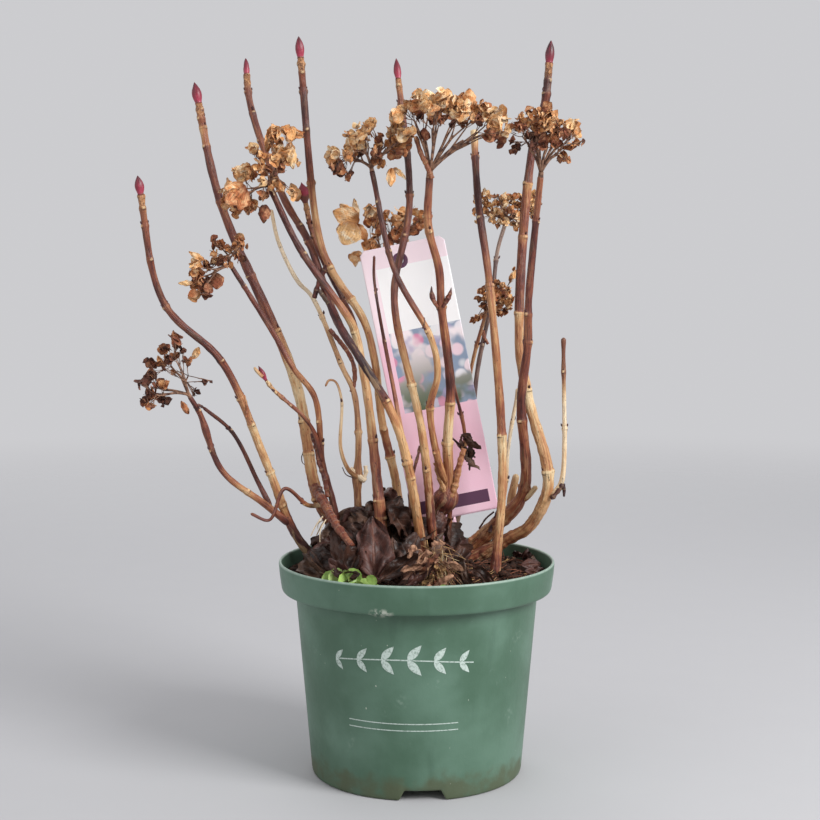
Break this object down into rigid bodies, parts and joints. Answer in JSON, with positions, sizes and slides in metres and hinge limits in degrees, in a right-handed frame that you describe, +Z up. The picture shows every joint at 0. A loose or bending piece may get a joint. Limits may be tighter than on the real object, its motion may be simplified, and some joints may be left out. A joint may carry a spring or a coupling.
{
  "type": "hydrangea shrub in a pot",
  "caption": "Mophead hydrangea in winter rest in a round nursery pot: bare canes with tip buds, dried flower heads, dead leaves on the soil and a blank plant label.",
  "frame": {"origin": "centre of the flat ring and floor that the pot stands on", "axes": "+Z straight up; the side seen in the picture faces -Y, with its right along +X"},
  "size_m": [0.363, 0.2339, 0.609],
  "materials": {
    "pot": "satin",
    "soil": "matte",
    "leaf_litter": "matte",
    "care_label": "satin",
    "dark_cane": "satin",
    "pale_cane": "satin",
    "dried_head": "matte"
  },
  "bodies": {
    "root": {"pot": "pot", "soil": "soil", "leaf_litter": "leaf_litter", "care_label": "care_label", "cane_left_outer": "dark_cane", "cane_left_low": "dark_cane", "twig_left_low": "dark_cane", "cane_left_inner": "dark_cane", "cane_left_flower": "dark_cane", "twig_left_bud": "dark_cane", "twig_crooked": "dark_cane", "cane_centre_dark": "dark_cane", "cane_centre_flower": "dark_cane", "cane_centre_pale": "pale_cane", "cane_centre_tall": "dark_cane", "cane_short_bud": "dark_cane", "twig_label_front": "dark_cane", "cane_label_left": "dark_cane", "cane_mid_flower": "dark_cane", "cane_label_flower": "dark_cane", "twig_mid_bud": "dark_cane", "cane_mid_prop": "dark_cane", "cane_right_front": "dark_cane", "cane_right_tall": "dark_cane", "cane_right_flower": "dark_cane", "cane_right_stub": "dark_cane", "cane_right_spur": "dark_cane", "cane_right_dry": "pale_cane", "twig_right_edge": "pale_cane", "cane_back_flower": "dark_cane", "cane_back_low": "dark_cane", "cane_behind_label": "dark_cane", "twig_hooked": "pale_cane", "head_left_low": "dried_head", "head_left": "dried_head", "head_centre_left": "dried_head", "head_centre": "dried_head", "head_top": "dried_head", "head_right": "dried_head", "head_back_right": "dried_head", "head_back_low": "dried_head", "head_behind_label": "dried_head"}
  },
  "joints": []
}
